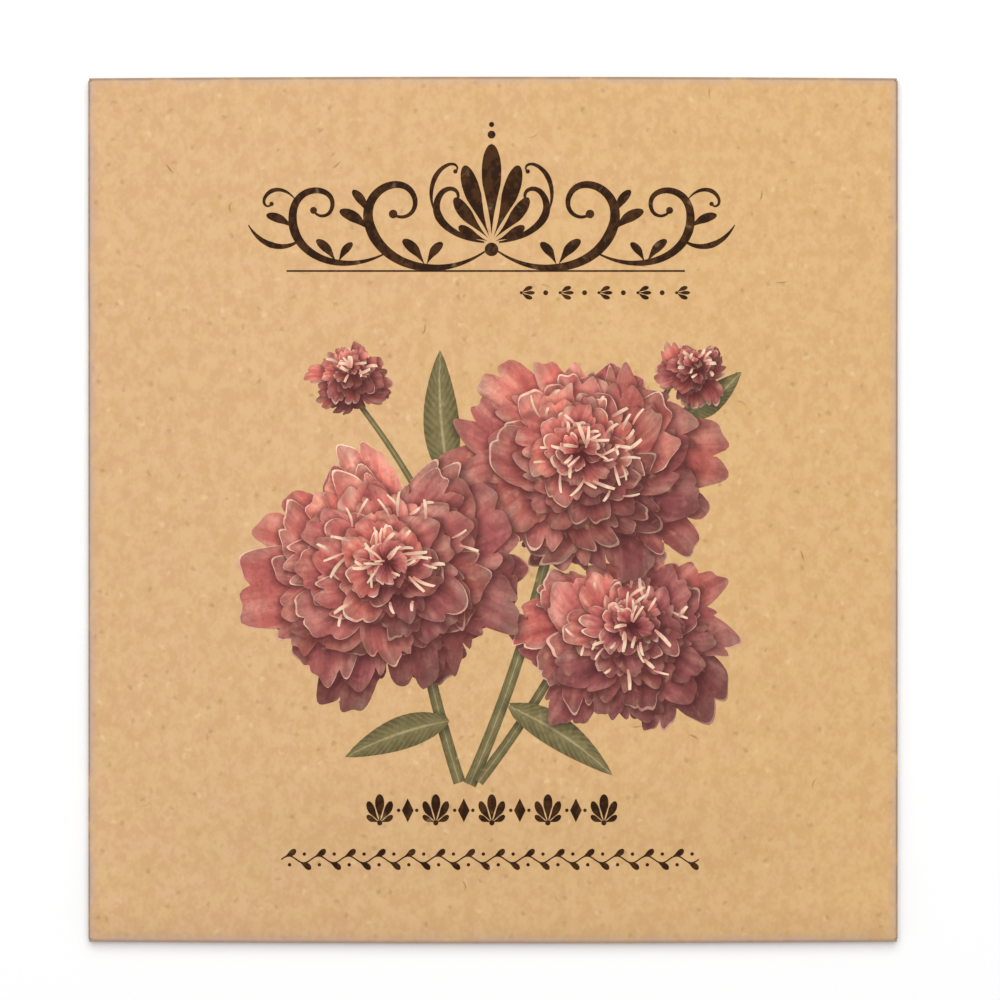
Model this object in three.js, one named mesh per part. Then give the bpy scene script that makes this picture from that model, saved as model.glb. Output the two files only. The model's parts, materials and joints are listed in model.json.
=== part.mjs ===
// A seed packet: one sheet of kraft card, folded flat round its seeds and glued shut.
// It lies on its back. X runs across the front, Y up the front to the fold of the closing flap,
// and Z out of the front. The origin is the middle of its footprint, on the surface it lies on.
// All sizes are in millimetres.
import * as THREE from "three";
import { mergeVertices } from "three/addons/utils/BufferGeometryUtils.js";

// Packet
const WIDTH = 112;
const HEIGHT = 120;
const CARD = 0.3; // thickness of the card
const GLUE_GAP = 0.08; // between two layers that are glued together
const EDGE_HEIGHT = 1.5; // middle of the front's card over the surface, along its four folds
const FOLD_REACH = 0.45; // how far a fold's middle line bulges past its crease
const FOLD_BOW = 0.22; // how far the top and bottom folds bow out in the middle of the width
const CORNER_REACH = 0.55; // share of a fold's bulge by which it runs on past the packet's corner

// Swelling of the front over the seeds
const SWELL = 2.3;
const SIDE_RISE = 30; // distance from a side over which the front rises to its full swelling
const BOTTOM_RISE = 24;
const TOP_RISE = 78;

// Glued parts of the sheet
const SIDE_FLAP = 13; // width of the two flaps inside, along the sides
const SIDE_FLAP_END = 2.5; // what is left of that width where a flap is cut away at a corner
const SIDE_FLAP_CUT = 8; // length of that cut
const BACK_INSET = 0.8; // how much narrower the back is than the front, on each side
const BACK_SHOULDER = 4; // length over which the back narrows, above the bottom fold
const BACK_TOP = 57.5; // Y of the back's upper edge, under the closing flap
const CLOSING_FLAP = 28; // depth of the closing flap
const FLAP_SHOULDER = 1; // length over which it narrows by the back's inset, below the top fold
const FLAP_TAPER = 7; // how much more it narrows on each side down to its free edge
const FLAP_CORNER = 9; // radius of its free corners
const STEP_LENGTH = 5; // length over which the back bends up onto the closing flap
const STEP_CLEAR = 0.3; // how soon before the flap's free edge the back is up

// Seeds: small ribbed barrels with a wider collar
const SEED_COUNT = 36;
const SEED_LENGTH = 5;
const SEED_RADIUS = 1.25;
const SEED_RIBS = 8;
const RIB_DEPTH = 0.16; // share of the radius by which the grooves between the ribs are cut
const SEED_CLEAR = 0.05; // over the card, and under the front
const SEED_SPACING = 5.7; // least distance between the middles of two seeds
const SEED_FIELD = { halfWidth: 34, low: -47, high: 8 };
const RANDOM_SEED = 20240517;

// Facets
const FRONT_COLUMNS = 22;
const FRONT_ROWS = 24;
const FOLD_STEPS = 6; // even, so that a corner of the facets lies at the outermost point
const SIDE_FLAP_COLUMNS = 3;
const BACK_ROWS = 8;
const STEP_ROWS = 4;
const TUCKED_ROWS = 3;
const FLAP_ROWS = 2;
const CORNER_ROWS = 6;

const CREASE_X = WIDTH / 2 - CARD / 2 - FOLD_REACH;
const CREASE_Y = HEIGHT / 2 - CARD / 2 - FOLD_REACH - FOLD_BOW;
const LAYER = CARD + GLUE_GAP;
const FLAP_EDGE_Y = HEIGHT / 2 - CLOSING_FLAP;
const STEP_TOP_Y = FLAP_EDGE_Y - STEP_CLEAR;
const STEP_FOOT_Y = STEP_TOP_Y - STEP_LENGTH;

const { lerp, smoothstep } = THREE.MathUtils;
const smooth = (t) => smoothstep(t, 0, 1);
const steps = (count) => Array.from({ length: count + 1 }, (_, i) => i / count);
const between = (low, high, count) => steps(count).map((t) => lerp(low, high, t));

// From -1 to 1, closer together towards both ends.
const spread = (count) => steps(count).map((t) => Math.sin((t - 0.5) * Math.PI));

// ---- Heights of the middle of the card ----

function frontHeight(x, y) {
  const fromSide = smooth((CREASE_X - Math.abs(x)) / SIDE_RISE);
  const fromBottom = smooth((y + CREASE_Y) / BOTTOM_RISE);
  const fromTop = smooth((CREASE_Y - y) / TOP_RISE);
  return EDGE_HEIGHT + SWELL * fromSide * fromBottom * fromTop;
}

// The back lies on the surface, and steps up over the closing flap that is glued under it.
function backHeight(y) {
  return CARD / 2 + LAYER * smooth((y - STEP_FOOT_Y) / STEP_LENGTH);
}

// ---- The sheet, as the middle surface of the card in five patches that share their creases ----

// Adds a grid of triangles. at(u, v) gives the point for each pair of the two lists of values.
function addPatch(triangles, us, vs, at, isFlipped = false) {
  const points = us.map((u) => vs.map((v) => at(u, v)));
  for (let i = 0; i + 1 < us.length; i++) {
    for (let j = 0; j + 1 < vs.length; j++) {
      const [a, b] = [points[i][j], points[i + 1][j]];
      const [c, d] = [points[i + 1][j + 1], points[i][j + 1]];
      triangles.push(...(isFlipped ? [a, c, b, a, d, c] : [a, b, c, a, c, d]));
    }
  }
}

const columns = spread(FRONT_COLUMNS).map((t) => t * CREASE_X);
const rows = spread(FRONT_ROWS).map((t) => t * CREASE_Y);

function addFront(triangles) {
  addPatch(triangles, columns, rows, (x, y) => new THREE.Vector3(x, y, frontHeight(x, y)));
}

// A half turn of the card from the front's edge down to the height bottom, with turn from 0 to 1.
// out is how far past the crease it lies, and along the share that it adds to its own length.
function foldAt(turn, bottom, halfLength) {
  const angle = turn * Math.PI;
  const out = FOLD_REACH * Math.sin(angle);
  const height = lerp(bottom, EDGE_HEIGHT, (1 + Math.cos(angle)) / 2);
  return { out, height, along: 1 + (CORNER_REACH * out) / halfLength };
}

// The fold at one side, and the flap inside the packet. side is 1 on the right and -1 on the left.
function addSideFlap(triangles, side) {
  const cutStart = CREASE_Y - SIDE_FLAP_CUT;
  const widthAt = (y) => {
    return lerp(SIDE_FLAP, SIDE_FLAP_END, Math.max(0, Math.abs(y) - cutStart) / SIDE_FLAP_CUT);
  };
  const at = (u, y) => {
    const flapHeight = backHeight(y) + LAYER;
    if (u > 1) return new THREE.Vector3(side * (CREASE_X - (u - 1) * widthAt(y)), y, flapHeight);
    const { out, height, along } = foldAt(u, flapHeight, CREASE_Y);
    return new THREE.Vector3(side * (CREASE_X + out), y * along, height);
  };
  const across = [...steps(FOLD_STEPS), ...between(1, 2, SIDE_FLAP_COLUMNS).slice(1)];
  addPatch(triangles, across, rows, at, side < 0);
}

// A fold across the packet, at the top (end 1) or at the bottom (end -1), and the panel behind the
// front that it leads to. The panel's levels are its rows, from the fold on.
function addPanel(triangles, end, levels, halfWidthAt, heightAt) {
  const at = (u, x) => {
    if (u > 1) {
      const y = levels[u - 2];
      return new THREE.Vector3((x / CREASE_X) * halfWidthAt(y), y, heightAt(y));
    }
    const { out, height, along } = foldAt(u, CARD / 2, CREASE_X);
    return new THREE.Vector3(x * along, end * (CREASE_Y + out), height);
  };
  const down = [...steps(FOLD_STEPS), ...levels.map((_, i) => i + 2)];
  addPatch(triangles, down, columns, at, end > 0);
}

// The back runs up from the bottom fold to its free edge over the closing flap.
function addBack(triangles) {
  const levels = [
    ...between(BACK_SHOULDER - CREASE_Y, STEP_FOOT_Y, BACK_ROWS),
    ...between(STEP_FOOT_Y, STEP_TOP_Y, STEP_ROWS).slice(1),
    ...between(STEP_TOP_Y, BACK_TOP, TUCKED_ROWS).slice(1),
  ];
  const halfWidthAt = (y) => CREASE_X - BACK_INSET * smooth((y + CREASE_Y) / BACK_SHOULDER);
  addPanel(triangles, -1, levels, halfWidthAt, backHeight);
}

// The closing flap runs down from the top fold, tapered, to a free edge with rounded corners.
function addClosingFlap(triangles) {
  const cornerY = FLAP_EDGE_Y + FLAP_CORNER;
  const levels = [
    ...between(CREASE_Y - FLAP_SHOULDER, cornerY, FLAP_ROWS),
    ...steps(CORNER_ROWS)
      .slice(1)
      .map((t) => cornerY - FLAP_CORNER * Math.sin((t * Math.PI) / 2)),
  ];
  const halfWidthAt = (y) => {
    const depth = CREASE_Y - y;
    const shoulder = BACK_INSET * smooth(depth / FLAP_SHOULDER);
    const taper = (FLAP_TAPER * depth) / (CREASE_Y - FLAP_EDGE_Y);
    const intoCorner = Math.max(0, cornerY - y);
    const rounding = FLAP_CORNER - Math.sqrt(Math.max(0, FLAP_CORNER ** 2 - intoCorner ** 2));
    return CREASE_X - shoulder - taper - rounding;
  };
  addPanel(triangles, 1, levels, halfWidthAt, () => CARD / 2);
}

// Moves the whole sheet a little outwards from the middle line across it, most at mid-width.
function bowOut(surface) {
  const place = surface.attributes.position;
  for (let i = 0; i < place.count; i++) {
    const share = 1 - (place.getX(i) / CREASE_X) ** 2;
    place.setY(i, place.getY(i) * (1 + (FOLD_BOW * share) / CREASE_Y));
  }
}

// Gives an open surface its thickness, half on each side, and closes it along its free edges.
function thicken(surface, thickness) {
  surface.computeVertexNormals();
  const place = surface.attributes.position;
  const normal = surface.attributes.normal;
  const count = place.count;
  const solid = new Float32Array(count * 6);
  for (let i = 0; i < count; i++) {
    const point = new THREE.Vector3().fromBufferAttribute(place, i);
    const half = new THREE.Vector3().fromBufferAttribute(normal, i).multiplyScalar(thickness / 2);
    point.clone().add(half).toArray(solid, i * 3);
    point.clone().sub(half).toArray(solid, (count + i) * 3);
  }
  const corners = Array.from(surface.index.array);
  const sides = new Set();
  const faces = [];
  for (let k = 0; k < corners.length; k += 3) {
    const [a, b, c] = corners.slice(k, k + 3);
    faces.push(a, b, c, count + a, count + c, count + b);
    [`${a},${b}`, `${b},${c}`, `${c},${a}`].forEach((side) => sides.add(side));
  }
  for (const side of sides) {
    const [a, b] = side.split(",").map(Number);
    if (!sides.has(`${b},${a}`)) faces.push(b, a, count + a, b, count + a, count + b);
  }
  return new THREE.BufferGeometry()
    .setAttribute("position", new THREE.BufferAttribute(solid, 3))
    .setIndex(faces);
}

function makePacket() {
  const triangles = [];
  addFront(triangles);
  addSideFlap(triangles, 1);
  addSideFlap(triangles, -1);
  addBack(triangles);
  addClosingFlap(triangles);
  const middle = mergeVertices(new THREE.BufferGeometry().setFromPoints(triangles), 1e-3);
  bowOut(middle);
  const material = new THREE.MeshStandardMaterial({ color: 0xdeb583, roughness: 0.88, metalness: 0 });
  const packet = new THREE.Mesh(thicken(middle, CARD), material);
  packet.name = "kraft_packet";
  return packet;
}

// ---- The seeds ----

// A seed lying along X on its ribs, with its lowest point at height 0.
function makeSeedShape() {
  // Radius as a share of the seed's, and place along it, from its foot to the hollow of its collar
  const outline = [
    [0, 0],
    [0.55, 0.05],
    [0.95, 0.3],
    [1, 0.62],
    [0.72, 0.84],
    [1.08, 0.97],
    [0.6, 1],
    [0, 0.9],
  ].map(([radius, along]) => new THREE.Vector2(radius * SEED_RADIUS, (along - 0.5) * SEED_LENGTH));
  const shape = new THREE.LatheGeometry(outline, SEED_RIBS * 2);
  const place = shape.attributes.position;
  for (let i = 0; i < place.count; i++) {
    const around = Math.atan2(place.getX(i), place.getZ(i));
    const share = 1 - (RIB_DEPTH * (1 - Math.cos(around * SEED_RIBS))) / 2;
    place.setXYZ(i, place.getX(i) * share, place.getY(i), place.getZ(i) * share);
  }
  shape.rotateZ(-Math.PI / 2);
  shape.computeBoundingBox();
  return shape.translate(0, 0, -shape.boundingBox.min.z);
}

// Even random numbers from 0 to 1, the same on every run.
function randomFrom(state) {
  return () => {
    state = (state + 0x6d2b79f5) | 0;
    let mixed = Math.imul(state ^ (state >>> 15), 1 | state);
    mixed = (mixed + Math.imul(mixed ^ (mixed >>> 7), 61 | mixed)) ^ mixed;
    return ((mixed ^ (mixed >>> 14)) >>> 0) / 2 ** 32;
  };
}

// Places for the seeds in the swollen part, none touching, more of them towards the bottom.
function seedPlaces(seedHeight) {
  const random = randomFrom(RANDOM_SEED);
  const needed = CARD * 1.5 + SEED_CLEAR * 2 + seedHeight;
  const places = [];
  while (places.length < SEED_COUNT) {
    const x = lerp(-SEED_FIELD.halfWidth, SEED_FIELD.halfWidth, random());
    const y = lerp(SEED_FIELD.low, SEED_FIELD.high, random() ** 1.4);
    const turn = random() * Math.PI * 2;
    const hasRoom = [-0.5, 0, 0.5].every((end) => {
      const reach = end * SEED_LENGTH;
      return frontHeight(x + reach * Math.cos(turn), y + reach * Math.sin(turn)) > needed;
    });
    const isApart = places.every((other) => Math.hypot(other.x - x, other.y - y) > SEED_SPACING);
    if (hasRoom && isApart) places.push({ x, y, turn });
  }
  return places;
}

function makeSeeds() {
  const shape = makeSeedShape();
  const seedHeight = shape.boundingBox.max.z - shape.boundingBox.min.z;
  return seedPlaces(seedHeight).map(({ x, y, turn }, i) => {
    const material = new THREE.MeshStandardMaterial({ color: 0x8a6c49, roughness: 0.8, metalness: 0 });
    const seed = new THREE.Mesh(shape, material);
    seed.name = `seed_${String(i + 1).padStart(2, "0")}`;
    seed.position.set(x, y, CARD + SEED_CLEAR);
    seed.rotation.z = turn;
    return seed;
  });
}

const seedPacket = new THREE.Group();
seedPacket.add(makePacket(), ...makeSeeds());
export default seedPacket;
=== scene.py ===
import json
import math
import random

import bpy
import numpy as np
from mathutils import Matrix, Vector, kdtree
from mathutils.geometry import delaunay_2d_cdt

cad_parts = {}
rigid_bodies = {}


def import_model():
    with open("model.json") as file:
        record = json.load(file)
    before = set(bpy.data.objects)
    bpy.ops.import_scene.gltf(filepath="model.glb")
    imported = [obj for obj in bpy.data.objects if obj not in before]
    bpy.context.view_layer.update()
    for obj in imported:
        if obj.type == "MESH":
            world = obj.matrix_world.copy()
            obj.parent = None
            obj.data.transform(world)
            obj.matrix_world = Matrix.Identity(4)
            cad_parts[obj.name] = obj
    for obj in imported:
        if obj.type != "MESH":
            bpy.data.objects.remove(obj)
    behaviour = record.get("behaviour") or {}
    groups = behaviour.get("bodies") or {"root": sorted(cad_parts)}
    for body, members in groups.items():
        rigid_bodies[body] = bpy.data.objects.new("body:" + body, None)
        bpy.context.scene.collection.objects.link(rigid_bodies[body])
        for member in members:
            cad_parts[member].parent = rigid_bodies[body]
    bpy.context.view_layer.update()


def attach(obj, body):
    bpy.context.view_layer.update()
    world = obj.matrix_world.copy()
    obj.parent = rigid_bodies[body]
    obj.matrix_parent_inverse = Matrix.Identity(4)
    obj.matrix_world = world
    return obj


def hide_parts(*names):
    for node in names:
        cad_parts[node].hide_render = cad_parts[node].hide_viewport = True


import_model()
bpy.context.scene.view_settings.view_transform = "Standard"
MM = 0.001


# ---------------------------------------------------------------------------------------------
# Card
# One die-cut blank of kraft card, 0.3 mm thick, folded along its four sides. Two flaps lie inside
# along the sides with the back glued over them, and the closing flap is glued over the back's top.
# ---------------------------------------------------------------------------------------------

packet_width = 112 * MM
packet_height = 120 * MM
card = 0.3 * MM
glued = 0.38 * MM  # one layer with its glue
reach = 0.45 * MM  # how far a fold stands out past its crease
bow = 0.22 * MM  # how far the ends bow out in their middle
crease_x = packet_width / 2 - card / 2 - reach
crease_y = packet_height / 2 - card / 2 - reach - bow
edge_z = 1.5 * MM
swell_height = 2.3 * MM
side_rise = 30 * MM  # how far in from the folds the front still rises
bottom_rise = 24 * MM
top_rise = 78 * MM
side_flap_rows = [1 * MM, 3 * MM, 4 * MM, 5 * MM]
side_flap_end = 2.5 * MM
side_flap_cut = 8 * MM
flap_edge_y = 32 * MM
flap_corner = 9 * MM
flap_taper = 7 * MM
flap_narrowing = 1 * MM
back_inset = 0.8 * MM
back_narrowing = 4 * MM
back_top_y = 57.5 * MM
step_top_y = flap_edge_y - 0.3 * MM
step_length = 5 * MM


def smooth(t):
    t = min(max(t, 0.0), 1.0)
    return t * t * (3 - 2 * t)


def swelling(x, y):
    """How far the front stands above its folds."""
    from_side = smooth((crease_x - abs(x)) / side_rise)
    from_bottom = smooth((y + crease_y) / bottom_rise)
    from_top = smooth((crease_y - y) / top_rise)
    return swell_height * from_side * from_bottom * from_top


def back_step(y):
    """How far the back stands up over the closing flap."""
    return glued * smooth((y - step_top_y + step_length) / step_length)


def deselect_objects():
    if bpy.context.object and bpy.context.object.mode != "OBJECT":
        bpy.ops.object.mode_set(mode="OBJECT")
    bpy.ops.object.select_all(action="DESELECT")


def select_vertices(mesh, chosen):
    """Selects just the vertices that chosen picks, and stays in edit mode."""
    bpy.ops.object.mode_set(mode="EDIT")
    bpy.ops.mesh.select_mode(type="VERT")
    bpy.ops.mesh.select_all(action="DESELECT")
    bpy.ops.object.mode_set(mode="OBJECT")
    for vertex in mesh.vertices:
        vertex.select = bool(chosen(vertex.co))
    bpy.ops.object.mode_set(mode="EDIT")


def shape_vertices(mesh, first, shaped):
    """Moves the vertices from index first on to where shaped(co) puts them."""
    bpy.ops.object.mode_set(mode="OBJECT")
    for vertex in mesh.vertices[first:]:
        vertex.co = shaped(vertex.co.copy())
    bpy.ops.object.mode_set(mode="EDIT")


def near(a, b):
    return abs(a - b) < 1e-6


def fold_over(mesh, chosen, center, axis, angle, inward, rows):
    """Turns the chosen edge half round and draws the panel behind it out in rows of given lengths."""
    select_vertices(mesh, chosen)
    first = len(mesh.vertices)
    bpy.ops.mesh.spin(steps=10, angle=angle, center=center, axis=axis)
    for row in rows:
        move = [component * row for component in inward]
        bpy.ops.mesh.extrude_edges_move(TRANSFORM_OT_translate={"value": move})
    return first


deselect_objects()
bpy.ops.mesh.primitive_grid_add(x_subdivisions=80, y_subdivisions=86, size=1)
sheet = bpy.context.object
sheet.name = "kraft_card"
mesh = sheet.data
bpy.ops.object.mode_set(mode="EDIT")
bpy.ops.transform.resize(value=(2 * crease_x, 2 * crease_y, 1))
bpy.ops.transform.translate(value=(0, 0, edge_z))


def swell(co):
    co.z += swelling(co.x, co.y)
    return co


shape_vertices(mesh, 0, swell)

# The folds at the sides, which run on a little at the corners, and the two flaps that they lead to,
# cut away towards their ends
side_z = card / 2 + glued
side_round = (edge_z - side_z) / 2
side_run_on = 0.44
for side in (1, -1):
    first = fold_over(
        mesh,
        chosen=lambda co: near(co.x, side * crease_x) and near(co.z, edge_z),
        center=(side * crease_x, 0, side_z + side_round),
        axis=(0, 1, 0),
        angle=-side * math.pi,
        inward=(-side, 0, 0),
        rows=side_flap_rows,
    )

    def shape_side(co):
        out = side * co.x - crease_x
        low = (edge_z - co.z) / (edge_z - side_z)
        if out > 0:
            out *= reach / side_round
            co.y *= 1 + side_run_on * out / crease_y
        else:
            cut = max(0, abs(co.y) - (crease_y - side_flap_cut)) / side_flap_cut
            out *= 1 + cut * (side_flap_end / sum(side_flap_rows) - 1)
        return (side * (crease_x + out), co.y, co.z + low * back_step(co.y))

    shape_vertices(mesh, first, shape_side)

# The folds at the bottom and the top, the back and the closing flap
end_round = (edge_z - card / 2) / 2
end_run_on = 1.3
end_pinch = 0.15


def shape_end(co, end):
    """Shapes the fold at one end of the packet. It runs on over the side folds at the corners."""
    out = (end * co.y - crease_y) * reach / end_round
    run_on = out * (end_run_on - end_pinch * (out / reach) ** 3)
    return (co.x * (1 + run_on / crease_x), end * (crease_y + out), co.z)


def shape_back(co):
    if co.y < -crease_y:
        return shape_end(co, -1)
    inset = back_inset * smooth((co.y + crease_y) / back_narrowing)
    return (co.x * (1 - inset / crease_x), co.y, co.z + back_step(co.y))


def shape_closing_flap(co):
    depth = crease_y - co.y
    if depth < 0:
        return shape_end(co, 1)
    into_corner = min(max(0, depth - (crease_y - flap_edge_y - flap_corner)), flap_corner)
    half = crease_x - back_inset * smooth(depth / flap_narrowing)
    half -= flap_taper * depth / (crease_y - flap_edge_y)
    half -= flap_corner - math.sqrt(flap_corner**2 - into_corner**2)
    return (co.x * half / crease_x, co.y, co.z)


back_plain = step_top_y - step_length + crease_y - back_narrowing
back_rows = [back_narrowing / 4] * 4 + [back_plain / 24] * 24 + [step_length / 6] * 6
back_rows += [(back_top_y - step_top_y) / 8] * 8
flap_plain = crease_y - flap_narrowing - (flap_edge_y + flap_corner)
flap_rows = [flap_narrowing / 4] * 4 + [flap_plain / 5] * 5
arc = [math.sin(i * math.pi / 20) for i in range(11)]
flap_rows += [flap_corner * (further - nearer) for nearer, further in zip(arc, arc[1:])]
for end, rows, shaped in ((-1, back_rows, shape_back), (1, flap_rows, shape_closing_flap)):
    first = fold_over(
        mesh,
        chosen=lambda co: near(co.y, end * crease_y) and near(co.z, edge_z) and abs(co.x) < crease_x + 1e-6,
        center=(0, end * crease_y, edge_z - end_round),
        axis=(1, 0, 0),
        angle=end * math.pi,
        inward=(0, -end, 0),
        rows=rows,
    )
    shape_vertices(mesh, first, shaped)


def bow_out(co):
    co.y *= 1 + bow * (1 - (co.x / crease_x) ** 2) / crease_y
    return co


shape_vertices(mesh, 0, bow_out)

bpy.ops.mesh.select_all(action="SELECT")
bpy.ops.mesh.remove_doubles(threshold=1e-6)
bpy.ops.mesh.normals_make_consistent(inside=False)
bpy.ops.object.mode_set(mode="OBJECT")
thickness = sheet.modifiers.new("card", "SOLIDIFY")
thickness.thickness = card
thickness.offset = 0
bpy.ops.object.modifier_apply(modifier=thickness.name)
bpy.ops.object.shade_smooth_by_angle(angle=math.radians(40))

# The map that the card's look is kept on: three quarters for the front, a part for the back, and
# the rest for what is hidden inside. The folds are unrolled down to the middle of their height.
map_places = {"front": (0.354, 0.62, 0.75), "back": (0.855, 0.84, 0.305)}  # middle and size of each
map_reach = 122 * MM  # how much of the sheet that size holds
map_margin = 0.004
inside_width = 0.7
inside_height = 0.235
fold_middle_z = 0.8 * MM
front_from_z = 1.2 * MM
back_up_to_z = 0.2 * MM
mesh.uv_layers.new(name="OFBake")
bpy.ops.object.mode_set(mode="EDIT")
bpy.ops.mesh.select_all(action="SELECT")
bpy.ops.uv.smart_project(angle_limit=math.radians(66), island_margin=0.002)
bpy.ops.object.mode_set(mode="OBJECT")
card_map = mesh.uv_layers["OFBake"]


def unrolled(value, crease, down):
    return value + math.copysign(down, value) if abs(value) > crease else value


for face in mesh.polygons:
    middle, normal = face.center, face.normal
    bowed_y = crease_y + bow * (1 - (middle.x / crease_x) ** 2)
    past_side = abs(middle.x) > crease_x and normal.x * middle.x > 0
    past_end = abs(middle.y) > bowed_y and normal.y * middle.y > 0
    if past_side or past_end:
        panel = "front" if middle.z > fold_middle_z else "back"
    elif normal.z > 0.2 and middle.z > front_from_z:
        panel = "front"
    else:
        panel = "back" if normal.z < -0.2 and middle.z < back_up_to_z else "inside"
    for loop in face.loop_indices:
        co = mesh.vertices[mesh.loops[loop].vertex_index].co
        u, v = card_map.data[loop].uv
        if panel == "inside":
            card_map.data[loop].uv = (map_margin + inside_width * u, map_margin + inside_height * v)
            continue
        middle_u, middle_v, size = map_places[panel]
        down = max(0, edge_z + card / 2 - co.z) if panel == "front" else max(0, co.z)
        x = unrolled(co.x, crease_x, down) / map_reach
        y = unrolled(co.y, bowed_y, down) / map_reach
        card_map.data[loop].uv = (middle_u + x * size, middle_v + y * size)


def srgb(red, green, blue):
    """A colour given as it looks, from 0 to 255, in the linear values that a shader takes."""
    return [((c / 255 + 0.055) / 1.055) ** 2.4 if c > 10 else c / 3294.6 for c in (red, green, blue)] + [1]


def add_node(tree, kind, inputs=None, **settings):
    """Adds a node, sets it up, and fills its inputs with values or links them to sockets."""
    node = tree.nodes.new(kind)
    for name, value in settings.items():
        setattr(node, name, value)
    for name, value in (inputs or {}).items():
        if isinstance(value, bpy.types.NodeSocket):
            tree.links.new(value, node.inputs[name])
        else:
            node.inputs[name].default_value = value
    return node


def math_node(tree, operation, *values):
    inputs = dict(enumerate(values))
    return add_node(tree, "ShaderNodeMath", inputs, operation=operation).outputs[0]


def times(tree, value, factor):
    return math_node(tree, "MULTIPLY", value, factor)


def vector_node(tree, operation, *vectors, **factors):
    inputs = {**dict(enumerate(vectors)), **factors}
    return add_node(tree, "ShaderNodeVectorMath", inputs, operation=operation).outputs[0]


def ease(tree, value, low, high):
    """0 below low, 1 above high, and a soft step between. Falls instead if low is over high."""
    flip = low > high
    inputs = {"Value": value, "From Min": min(low, high), "From Max": max(low, high)}
    inputs.update({"To Min": 1.0 if flip else 0.0, "To Max": 0.0 if flip else 1.0})
    node = add_node(tree, "ShaderNodeMapRange", inputs, interpolation_type="SMOOTHSTEP")
    return node.outputs["Result"]


def mix_colours(tree, share, first, second):
    """The first colour, with the given share of the second over it."""
    inputs = {0: share, 6: first, 7: second}
    return add_node(tree, "ShaderNodeMix", inputs, data_type="RGBA").outputs[2]


def add_fibres(tree, where, cells, half_length, half_width, share):
    """A mask of short curved fibres, one in some of the cells, each at an angle and of a strength
    of its own. In mm."""
    inputs = {"Vector": where, "Scale": cells, "Randomness": 1.0}
    spread = add_node(tree, "ShaderNodeTexVoronoi", inputs, voronoi_dimensions="2D").outputs
    chances = add_node(tree, "ShaderNodeSeparateColor", {"Color": spread["Color"]}).outputs
    from_middle = vector_node(tree, "SUBTRACT", where, spread["Position"])
    inputs = {"Vector": from_middle, "Angle": times(tree, chances[0], 6.283)}
    turned = add_node(tree, "ShaderNodeVectorRotate", inputs, rotation_type="Z_AXIS").outputs[0]
    axes = add_node(tree, "ShaderNodeSeparateXYZ", {"Vector": turned}).outputs
    bend = times(tree, math_node(tree, "SUBTRACT", chances[1], 0.5), 0.9 / half_length)
    arch = times(tree, math_node(tree, "POWER", axes["X"], 2.0), bend)
    off = math_node(tree, "ABSOLUTE", math_node(tree, "ADD", axes["Y"], arch))
    along = math_node(tree, "ABSOLUTE", axes["X"])
    across_body = ease(tree, off, half_width * 2.3, 0.0)
    along_body = ease(tree, along, half_length * 1.3, half_length * 0.2)
    strength = ease(tree, chances[2], 1 - share, 1 - share / 3)
    return times(tree, times(tree, across_body, along_body), strength)


def new_group(name, inputs, outputs):
    """An empty node group with named sockets, what comes into it, and what goes out."""
    group = bpy.data.node_groups.new(name, "ShaderNodeTree")
    for in_out, sockets in (("INPUT", inputs), ("OUTPUT", outputs)):
        for socket, kind in sockets.items():
            group.interface.new_socket(socket, in_out=in_out, socket_type=f"NodeSocket{kind}")
    return group, group.nodes.new("NodeGroupInput").outputs, group.nodes.new("NodeGroupOutput").inputs


# What kraft shows all over: clouds in tone and in tint, drawn out a little up the sheet as its
# fibres are, and odd fibres on them, cream, brown and olive, none of them quite straight
masks = dict.fromkeys(("Cloud", "Tint", "Pale", "Dark", "Height"), "Float")
kraft, ins, outs = new_group("kraft_fibre", {"Position": "Vector"}, masks)
in_mm = vector_node(kraft, "SCALE", ins["Position"], Scale=1 / MM)


def add_noise(tree, where, scale, detail, roughness):
    inputs = {"Vector": where, "Scale": scale, "Detail": detail, "Roughness": roughness}
    return add_node(tree, "ShaderNodeTexNoise", inputs).outputs[0]


def weighted(tree, *pairs):
    """The sum of values, each times its weight."""
    total = times(tree, *pairs[0])
    for value, weight in pairs[1:]:
        total = math_node(tree, "MULTIPLY_ADD", value, weight, total)
    return total


drawn_out = vector_node(kraft, "MULTIPLY", in_mm, (1, 0.8, 1))
patches = ease(kraft, add_noise(kraft, drawn_out, 0.5, 2.4, 0.9), 0.36, 0.64)
fine = add_noise(kraft, drawn_out, 2.6, 1.0, 0.5)
cloud = weighted(kraft, (patches, 0.92), (fine, 0.18))
tint = ease(kraft, add_noise(kraft, in_mm, 0.29, 4.0, 0.8), 0.38, 0.62)
waver = add_node(kraft, "ShaderNodeTexNoise", {"Vector": in_mm, "Scale": 1.6, "Detail": 1.0})
bent = vector_node(kraft, "MULTIPLY_ADD", waver.outputs["Color"], (0.7, 0.7, 0), in_mm)
cream = add_fibres(kraft, bent, cells=0.24, half_length=0.5, half_width=0.2, share=0.45)
hairs = add_fibres(kraft, bent, cells=0.55, half_length=0.5, half_width=0.1, share=0.5)
brown = add_fibres(kraft, in_mm, cells=0.075, half_length=0.8, half_width=0.085, share=0.5)
olive = add_fibres(kraft, bent, cells=0.26, half_length=0.4, half_width=0.2, share=0.75)
pale = math_node(kraft, "MAXIMUM", cream, times(kraft, hairs, 0.4))
kraft.links.new(cloud, outs["Cloud"])
kraft.links.new(tint, outs["Tint"])
kraft.links.new(pale, outs["Pale"])
kraft.links.new(math_node(kraft, "MAXIMUM", brown, times(kraft, olive, 0.44)), outs["Dark"])
kraft.links.new(weighted(kraft, (fine, 1.0), (pale, 0.4)), outs["Height"])


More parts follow.
